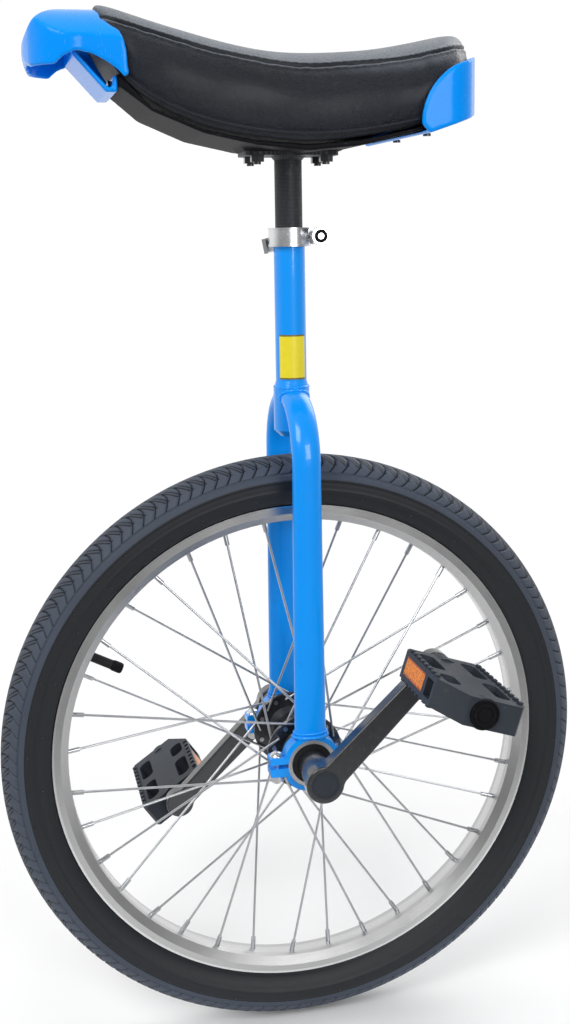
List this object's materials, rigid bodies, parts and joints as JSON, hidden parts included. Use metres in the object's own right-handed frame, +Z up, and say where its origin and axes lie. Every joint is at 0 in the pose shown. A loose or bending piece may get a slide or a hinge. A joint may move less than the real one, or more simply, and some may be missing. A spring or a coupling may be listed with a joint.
{
  "type": "unicycle",
  "caption": "Unicycle: spoked wheel with cranks and platform pedals under a bent-leg fork frame, quick-release seat post and a padded saddle with front grab handle and rear bumper.",
  "frame": {"origin": "on the ground under the wheel axle, at the tyre's contact point", "axes": "+Z up, +X along the wheel axle towards the rider's left, the front of the unicycle (grab handle) towards -Y"},
  "size_m": [0.419, 0.4978, 0.852],
  "materials": {
    "blue_paint": "gloss",
    "blue_plastic": "gloss",
    "label_film": "gloss",
    "steel": "polished",
    "bearing_steel": "ground",
    "seal_rubber": "matte",
    "clamp_alloy": "polished",
    "black_plastic": "matte",
    "pedal_plastic": "satin",
    "black_paint": "gloss",
    "cover_leather": "grained",
    "foam": "open cell",
    "tyre": "matte",
    "rim_alloy": "satin",
    "spoke_steel": "bright",
    "amber": "prismatic"
  },
  "bodies": {
    "frame": {"fork_frame": "blue_paint", "bearing_cap_left": "blue_paint", "bearing_cap_right": "blue_paint", "cap_bolts": "steel", "cap_nuts": "steel", "bearing_outer_left": "bearing_steel", "bearing_outer_right": "bearing_steel", "bearing_seals_left": "seal_rubber", "bearing_seals_right": "seal_rubber", "frame_label": "label_film", "seat_clamp": "clamp_alloy", "clamp_skewer": "steel", "clamp_nut": "clamp_alloy", "clamp_nut_insert": "black_plastic", "cam_washer": "steel", "lever_pin": "steel"},
    "wheel": {"tyre": "tyre", "inner_tube": "seal_rubber", "rim_tape": "seal_rubber", "rim": "rim_alloy", "spokes_left": "spoke_steel", "spokes_right": "spoke_steel", "nipples": "spoke_steel", "valve_stem": "seal_rubber", "valve_cap": "black_plastic", "hub_shell": "black_paint", "spindle": "steel", "bearing_inner_left": "bearing_steel", "bearing_inner_right": "bearing_steel", "bearing_balls_left": "bearing_steel", "bearing_balls_right": "bearing_steel", "spacer_left": "black_paint", "spacer_right": "black_paint", "crank_left": "black_paint", "crank_right": "black_paint", "crank_bolts": "steel", "dust_cap_left": "black_plastic", "dust_cap_right": "black_plastic", "pedal_axle_left": "steel", "pedal_axle_right": "steel", "pedal_axle_nuts": "steel"},
    "seat": {"seat_post": "black_paint", "seat_studs": "black_paint", "seat_nuts": "black_paint", "saddle_base": "black_plastic", "saddle_foam": "foam", "saddle_cover": "cover_leather", "front_handle": "blue_plastic", "handle_screws": "steel", "rear_bumper": "blue_plastic", "bumper_screws": "steel"},
    "clamp_lever": {"clamp_lever": "clamp_alloy"},
    "left_pedal": {"pedal_body_left": "pedal_plastic", "pedal_reflectors_left": "amber", "pedal_bushes_left": "black_plastic", "pedal_end_cap_left": "black_plastic"},
    "right_pedal": {"pedal_body_right": "pedal_plastic", "pedal_reflectors_right": "amber", "pedal_bushes_right": "black_plastic", "pedal_end_cap_right": "black_plastic"}
  },
  "joints": [
    {"name": "wheel_spin", "type": "hinge", "parent": "frame", "child": "wheel", "pos_m": [0, 0, 0.249], "axis": [1, 0, 0], "continuous": true},
    {"name": "left_pedal_spin", "type": "hinge", "parent": "wheel", "child": "left_pedal", "pos_m": [0.1565, 0.09105, 0.33754], "axis": [1, 0, 0], "continuous": true},
    {"name": "right_pedal_spin", "type": "hinge", "parent": "wheel", "child": "right_pedal", "pos_m": [-0.1565, -0.09105, 0.16046], "axis": [1, 0, 0], "continuous": true},
    {"name": "seat_height", "type": "slide", "parent": "frame", "child": "seat", "axis": [0, 0, 1], "range_m": [-0.045, 0.07]},
    {"name": "lever_release", "type": "hinge", "parent": "frame", "child": "clamp_lever", "pos_m": [-0.018, 0.0215, 0.677], "axis": [0, 0, -1], "range_deg": [0, 160]}
  ]
}
